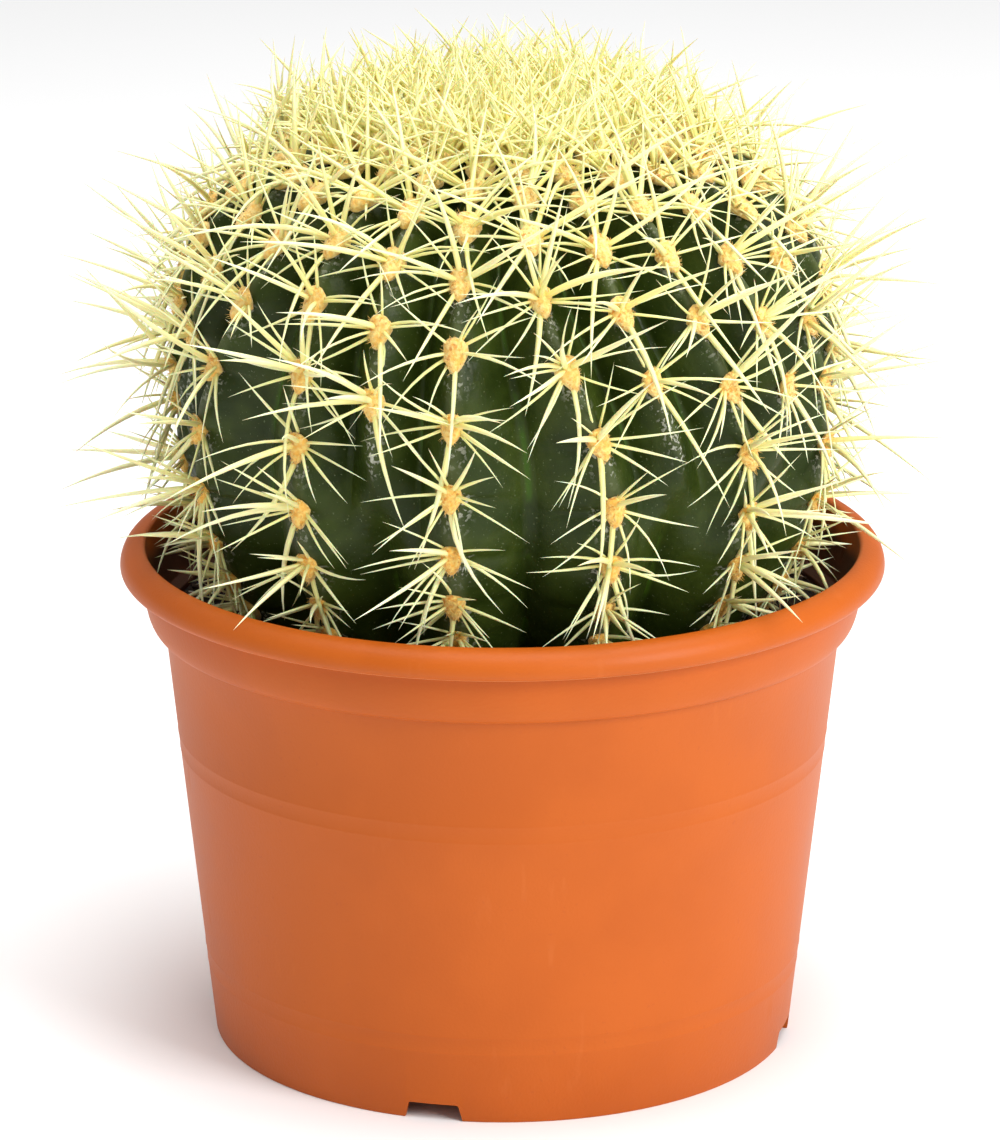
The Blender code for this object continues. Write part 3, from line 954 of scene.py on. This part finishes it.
def areole_felt():
    """Matted felt: cream when new, orange yellow when old, with dark orange specks near its top."""
    finish = Finish("areole felt", **FELT_SHEEN)
    place = finish.place()
    age = finish.attribute("felt_age")
    upper = finish.attribute("upper")
    mat = finish.cloud(place, 0.0011, 3.0)
    young = finish.mottled(mat, 0.35, 0.65, (0.93, 0.61, 0.17), (0.95, 0.76, 0.34))
    old = finish.mottled(mat, 0.35, 0.65, (0.88, 0.45, 0.07), (0.93, 0.65, 0.18))
    colour = finish.blend(age, young, old)
    specks = finish.between(finish.cloud(place, 0.0013, 1.0), 0.56, 0.66)
    specks = specks * finish.between(upper, 0.35, 0.75)
    colour = finish.blend(specks * 0.75, colour, (0.7, 0.22, 0.018))
    finish.paint("Base Color", colour)
    finish.paint("Roughness", 0.88 + 0.1 * mat)
    finish.relief(mat, 0.0007)
    return finish


FELT = areole_felt()
for rib in range(RIBS):
    made = felt_mesh(rib, areole_places(rib), Random(FELT_SEED + rib))
    felt = placed(f"felt_rib_{rib + 1:02d}", made)
    dress(felt, FELT, ALL_SMOOTH)
    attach(felt, "root")

# --------------------------------------------------------------
# Spines: a fan of slender spines lies round each pad, close over the skin, and stout ones
# stand up from its middle: one down the rib and the others up, aside and out. Each is a horny
# awl, cream over the body and yellower at its root.
# --------------------------------------------------------------
# A fan's spine is its heading round the pad (0 down the rib, 90 to the right), its rise off
# the skin, its length and how often it grows.
FAN = (
    (-31, 20, 0.0210, 0.60), (32, 20, 0.0210, 0.60),
    (-58, 22, 0.0240, 0.85), (59, 22, 0.0240, 0.85),
    (-83, 24, 0.0265, 0.92), (84, 24, 0.0265, 0.92),
    (-108, 28, 0.0265, 0.72), (109, 28, 0.0265, 0.72),
    (-136, 34, 0.0250, 0.85), (137, 34, 0.0250, 0.85),
    (-165, 40, 0.0225, 0.50), (167, 40, 0.0225, 0.50),
    (-70, 46, 0.0270, 0.35), (68, 46, 0.0270, 0.35),
)
STOUT = (
    (2, 15, 0.0360, 0.88),
    (-104, 56, 0.0410, 0.62), (102, 58, 0.0410, 0.62),
    (-148, 50, 0.0340, 0.40), (146, 50, 0.0340, 0.40),
    (178, 70, 0.0400, 0.55),
)
FAN_THICK = 0.00102
STOUT_THICK = 0.00178
HEADING_WANDER = 9
STOUT_HEADING_WANDER = 13.5
RISE_WANDER = 11
STOUT_RISE_WANDER = 7
YOUNG_SPINES_TO = 0.0850
YOUNG_FAN_LIFT = 30
YOUNG_STOUT_LIFT = 8
YOUNG_LOSS = 0.08
YOUNG_STOUT_LOSS = 0.20
OLD_SPINES_FROM = 0.1650
OLD_SPINES_WHOLE = 0.2150
OLD_LOSS = 0.36
ROOT_SPREAD = 0.62
ROOT_LIFT = 0.0006
SPINE_SIDES = 5
SPINE_CUTS = 5
SPINE_SEED = 5
SPREAD_LIMIT = cad_high.x + 0.0020
CEILING = cad_high.z - 0.0105
CEILING_FALL = 0.0065
CEILING_FALL_R = 0.0600
CEILING_SPARE = 0.0125
LEAN_STEP = 6
LEAST_RISE = 38
RIM_INNER_R = 0.1055
RIM_CLEAR_Z = LIP_TOP_Z + 0.0030
MIX_CLEAR_Z = mix_high.z + 0.0030
SPINE_SHARP = radians(75)
SPINE_BLANK = strand_blank(SPINE_SIDES, SPINE_CUTS)


def ceiling_at(point):
    """The usual height of the spines' tips over a place: a flat dome."""
    return CEILING - CEILING_FALL * (np.hypot(point[..., 0], point[..., 1]) / CEILING_FALL_R) ** 2


def reaches_too_far(roots, ways, bends, lengths, spare):
    """Which strands leave the plant's own room, cut the pot's rim or enter the mix. Spare is how
    far each may stand up over the dome of the tips."""
    over = np.zeros(len(roots), bool)
    for share in (0.5, 0.75, 1.0):
        points = roots + lengths[:, None] * (ways * share + bends * share ** 2)
        radius = np.hypot(points[:, 0], points[:, 1])
        over |= (np.abs(points[:, :2]) > SPREAD_LIMIT).any(axis=1)
        over |= points[:, 2] > ceiling_at(points) + spare
        over |= (points[:, 2] < RIM_CLEAR_Z) & (radius > RIM_INNER_R)
        over |= points[:, 2] < MIX_CLEAR_Z
    return over


class Cluster:
    """Collects spines, areole by areole, before they are made into one mesh."""

    def __init__(self, seed):
        self.dice = Random(seed)
        self.rows = []

    def grow(self, axes, size, heading, rise, length, thick, curl):
        """Adds one spine to an areole; near the top it leans over until it fits under the dome of
        the tips. Curl is how much it arches over and aside."""
        here, out, down, across = axes
        turn = radians(heading)
        spare = CEILING_SPARE * self.dice.random() ** 2
        while True:
            lean = radians(rise)
            flat = down * cos(turn) + across * sin(turn)
            way = flat * cos(lean) + out * sin(lean)
            tip = here + way * length
            if rise < LEAST_RISE or tip[2] < ceiling_at(tip) + spare:
                break
            rise -= LEAN_STEP
        foot = down * cos(turn) * PAD_LENGTH / 2 + across * sin(turn) * PAD_WIDTH / 2
        root = here + foot * ROOT_SPREAD * size * cos(lean) ** 2 + out * ROOT_LIFT
        weight = np.array((0.0, 0.0, -1.0))
        arch = weight * 0.55 - out * 0.45 + np.cross(way, out) * self.dice.gauss(0, 0.9)
        arch = arch - way * np.dot(arch, way)
        self.rows.append((root, way, arch * curl, length, thick, spare, self.dice.random()))

    def mesh(self, name):
        roots, ways, bends, lengths, thicks, spare, tints = (
            np.array(column) for column in zip(*self.rows))
        for _ in range(16):
            over = reaches_too_far(roots, ways, bends, lengths, spare)
            lengths[over] *= 0.92
        thicks = thicks * np.minimum(1.0, 0.60 + lengths / 0.050)
        made = strands(name, SPINE_BLANK, roots, ways, bends, lengths, thicks)
        write_attribute(made, "tint", np.repeat(tints, len(SPINE_BLANK.vertices)))
        return made


def grow_areole(cluster, rib, place):
    """The whole armament of one areole: shorter on old low areoles, more upright near the crown."""
    dice = cluster.dice
    axes = rib_axes(rib, place)
    new = 1 - float(smooth_share(place, FIRST_AREOLE, YOUNG_SPINES_TO))
    low = float(smooth_share(place, OLD_SPINES_FROM, OLD_SPINES_WHOLE))
    scale = (1 - OLD_LOSS * low) * (1 - YOUNG_LOSS * new)
    for heading, rise, length, often in FAN:
        if dice.random() > often:
            continue
        cluster.grow(
            axes, 1.0, heading + dice.gauss(0, HEADING_WANDER),
            rise + YOUNG_FAN_LIFT * new + dice.gauss(0, RISE_WANDER),
            length * scale * dice.uniform(0.85, 1.12),
            FAN_THICK * dice.uniform(0.8, 1.15), 0.07 + abs(dice.gauss(0, 0.13)))
    for heading, rise, length, often in STOUT:
        if dice.random() > often:
            continue
        cluster.grow(
            axes, 0.5, heading + dice.gauss(0, STOUT_HEADING_WANDER),
            rise + YOUNG_STOUT_LIFT * new + dice.gauss(0, STOUT_RISE_WANDER),
            length * scale * (1 - YOUNG_STOUT_LOSS * new) * dice.uniform(0.88, 1.15),
            STOUT_THICK * dice.uniform(0.85, 1.15), 0.12 + abs(dice.gauss(0, 0.16)))


def horny_spine():
    """Translucent pale horn: yellow at the root, cream along its run and tan at the very tip."""
    finish = Finish("pale yellow spine", IOR=1.5, Subsurface_Weight=0.3, Subsurface_Scale=0.002)
    along = finish.attribute("along")
    tint = finish.attribute("tint")
    pale = finish.ramp(along, [
        (0.0, (0.85, 0.66, 0.16)), (0.12, (0.92, 0.87, 0.42)),
        (0.88, (0.94, 0.92, 0.64)), (1.0, (0.78, 0.7, 0.45))])
    rich = finish.ramp(along, [
        (0.0, (0.82, 0.6, 0.12)), (0.20, (0.86, 0.8, 0.24)),
        (0.88, (0.9, 0.86, 0.4)), (1.0, (0.68, 0.56, 0.29))])
    crown = finish.between(finish.height(finish.place()), 0.235, 0.300)
    colour = finish.blend(tint * 0.55 + crown * 0.35, pale, rich)
    grain = finish.node("ShaderNodeCombineXYZ", {}, {0: along * 34, 1: tint * 90, 2: 0.0})
    rings = finish.cloud(grain, 1.0, 2.0)
    colour = finish.blend(finish.between(rings, 0.60, 0.75) * 0.15, colour, (0.72, 0.54, 0.2))
    finish.paint("Base Color", colour)
    finish.paint("Roughness", 0.34 + 0.16 * rings)
    finish.relief(rings, 0.00012)
    return finish


SPINE = horny_spine()
for rib in range(RIBS):
    cluster = Cluster(SPINE_SEED + rib)
    for place in areole_places(rib):
        grow_areole(cluster, rib, place)
    name = f"spines_rib_{rib + 1:02d}"
    spines = placed(name, cluster.mesh(name))
    dress(spines, SPINE, SPINE_SHARP)
    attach(spines, "root")
    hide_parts(f"spine_row_{rib + 1:02d}")

# --------------------------------------------------------------
# Crown: the newest areoles stand so close round the growing point that their felt runs
# together in one cushion of cream wool, and their spines in one upright tuft.
# --------------------------------------------------------------
_, wool_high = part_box("crown_wool")
WOOL_R = wool_high.x
WOOL_HEIGHT = 0.005412
WOOL_EDGE = 0.0008
WOOL_LUMP = 0.0012
WOOL_LUMP_SIZE = 0.0065
WOOL_FIBRES = 2600
WOOL_FIBRE_LENGTH = 0.0030
WOOL_SEED = 71
TUFT_SEED = 97
TUFT_LENGTH = 0.0290
HEART_LENGTH = 0.0290
TUFT_PER_AREOLE = 5
TUFT_RISE = 72
TUFT_SPREAD = 16
TUFT_WANDER = 12
TUFT_FINE_THICK = 1.3 * FAN_THICK


def wool_height(x, y):
    """Height of the wool's top: a low dome, lumpy where the newest areoles push through."""
    across = np.hypot(x, y)
    _, skin_z, _, _ = on_outline(across)
    dome = max(0.0, 1 - (across / WOOL_R) ** 2) ** 0.5
    lump = noise.noise(Vector((x, y, 0)) / WOOL_LUMP_SIZE) * WOOL_LUMP * dome
    return float(skin_z) + GAP + WOOL_EDGE + dome * WOOL_HEIGHT + lump


def wool_mesh():
    shape = bmesh.new()
    bmesh.ops.create_uvsphere(shape, u_segments=96, v_segments=48, radius=1.0)
    for corner in shape.verts:
        x, y, z = corner.co.x * WOOL_R, corner.co.y * WOOL_R, corner.co.z
        _, skin_z, _, _ = on_outline(np.hypot(x, y))
        corner.co = (x, y, wool_height(x, y) if z > 0 else float(skin_z) + GAP)
    dice = Random(WOOL_SEED)
    roots, ways, bends, lengths = [], [], [], []
    for _ in range(WOOL_FIBRES):
        spot = compass(dice.uniform(0, 360), WOOL_R * 0.97 * dice.random() ** 0.5, 0)
        roots.append((spot.x, spot.y, wool_height(spot.x, spot.y) - 0.0003))
        lean = np.array((spot.x, spot.y, 0)) / WOOL_R
        ways.append(unit(lean * 0.5 + np.array((dice.gauss(0, 0.4), dice.gauss(0, 0.4), 1.0))))
        bends.append((dice.gauss(0, 0.4), dice.gauss(0, 0.4), -0.2))
        lengths.append(WOOL_FIBRE_LENGTH * dice.uniform(0.5, 1.2))
    return with_fibres(shape, "crown_felt", roots, ways, bends, lengths)


def cream_wool():
    finish = Finish("cream crown wool", **FELT_SHEEN)
    place = finish.place()
    mat = finish.cloud(place, 0.0025, 4.0)
    colour = finish.mottled(mat, 0.35, 0.65, (0.82, 0.66, 0.26), (0.92, 0.85, 0.52))
    finish.paint("Base Color", colour)
    finish.paint("Roughness", 0.88 + 0.1 * mat)
    finish.relief(mat, 0.0010)
    return finish


def tuft_mesh():
    """Young spines from every newest areole, upright at the heart and leaning out at the edge."""
    tuft = Cluster(TUFT_SEED)
    dice = tuft.dice
    for rib in range(RIBS):
        for place in newest_places(rib):
            axes = rib_axes(rib, place)
            share = float(smooth_share(place, HEART_R, FIRST_AREOLE))
            for number in range(TUFT_PER_AREOLE):
                heading = (number + dice.random()) * 360 / TUFT_PER_AREOLE
                length = HEART_LENGTH + (TUFT_LENGTH - HEART_LENGTH) * share
                length = length * dice.uniform(0.75, 1.15)
                rise = TUFT_RISE - TUFT_SPREAD * share + dice.gauss(0, TUFT_WANDER)
                thick = STOUT_THICK if number % 3 == 0 else TUFT_FINE_THICK
                tuft.grow(axes, 1.0, heading, rise, length, thick, abs(dice.gauss(0, 0.15)))
    return tuft.mesh("crown_tuft")


crown_felt = placed("crown_felt", wool_mesh())
dress(crown_felt, cream_wool(), ALL_SMOOTH)
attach(crown_felt, "root")
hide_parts("crown_wool")

crown_tuft = placed("crown_tuft", tuft_mesh())
dress(crown_tuft, SPINE, SPINE_SHARP)
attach(crown_tuft, "root")

# --------------------------------------------------------------
# Studio: a pale floor under soft light from the upper right, and the camera in front.
# --------------------------------------------------------------
FLOOR_SIZE = 12.0
AIR_STRENGTH = 0.41
KEY_LIGHT = ((1.45, -1.25, 1.10), 0.9, 33.0)
TOP_LIGHT = ((0.1, -0.1, 2.2), 1.8, 55.0)
LIGHT_AIM = (0, 0, 0.15)
CAMERA_PLACE = (-0.00075, -1.7589, 0.6837)
CAMERA_TILT = 72.92
CAMERA_LENS = 192.8
CAMERA_SENSOR = 36


def studio_floor():
    shape = bmesh.new()
    bmesh.ops.create_grid(shape, x_segments=1, y_segments=1, size=FLOOR_SIZE / 2)
    floor = placed("studio_floor", mesh_from(shape, "studio_floor"))
    paper = Finish("pale paper", Roughness=0.9)
    cloud = paper.cloud(paper.place(), 0.4)
    paper.paint("Base Color", paper.blend(cloud, (0.93, 0.93, 0.93), (0.95, 0.95, 0.95)))
    dress(floor, paper)


def soft_light(name, place, size, watts):
    """A square light that faces the middle of the plant."""
    lamp = bpy.data.lights.new(name, "AREA")
    lamp.shape = "SQUARE"
    lamp.size = size
    lamp.energy = watts
    made = bpy.data.objects.new(name, lamp)
    bpy.context.scene.collection.objects.link(made)
    made.location = place
    aim = Vector(LIGHT_AIM) - Vector(place)
    made.rotation_euler = aim.to_track_quat("-Z", "Y").to_euler()


def studio_air(strength):
    world = bpy.data.worlds.new("studio air")
    world.use_nodes = True
    background = world.node_tree.nodes["Background"].inputs
    background["Color"].default_value = (1.0, 1.0, 1.0, 1.0)
    background["Strength"].default_value = strength
    bpy.context.scene.world = world


studio_floor()
studio_air(AIR_STRENGTH)
soft_light("key light", *KEY_LIGHT)
soft_light("top light", *TOP_LIGHT)

camera = bpy.data.objects.new("camera", bpy.data.cameras.new("camera"))
bpy.context.scene.collection.objects.link(camera)
camera.location = CAMERA_PLACE
camera.rotation_euler = (radians(CAMERA_TILT), 0, 0)
camera.data.sensor_width = CAMERA_SENSOR
camera.data.lens = CAMERA_LENS
bpy.context.scene.camera = camera
bpy.context.scene.view_settings.view_transform = "Standard"
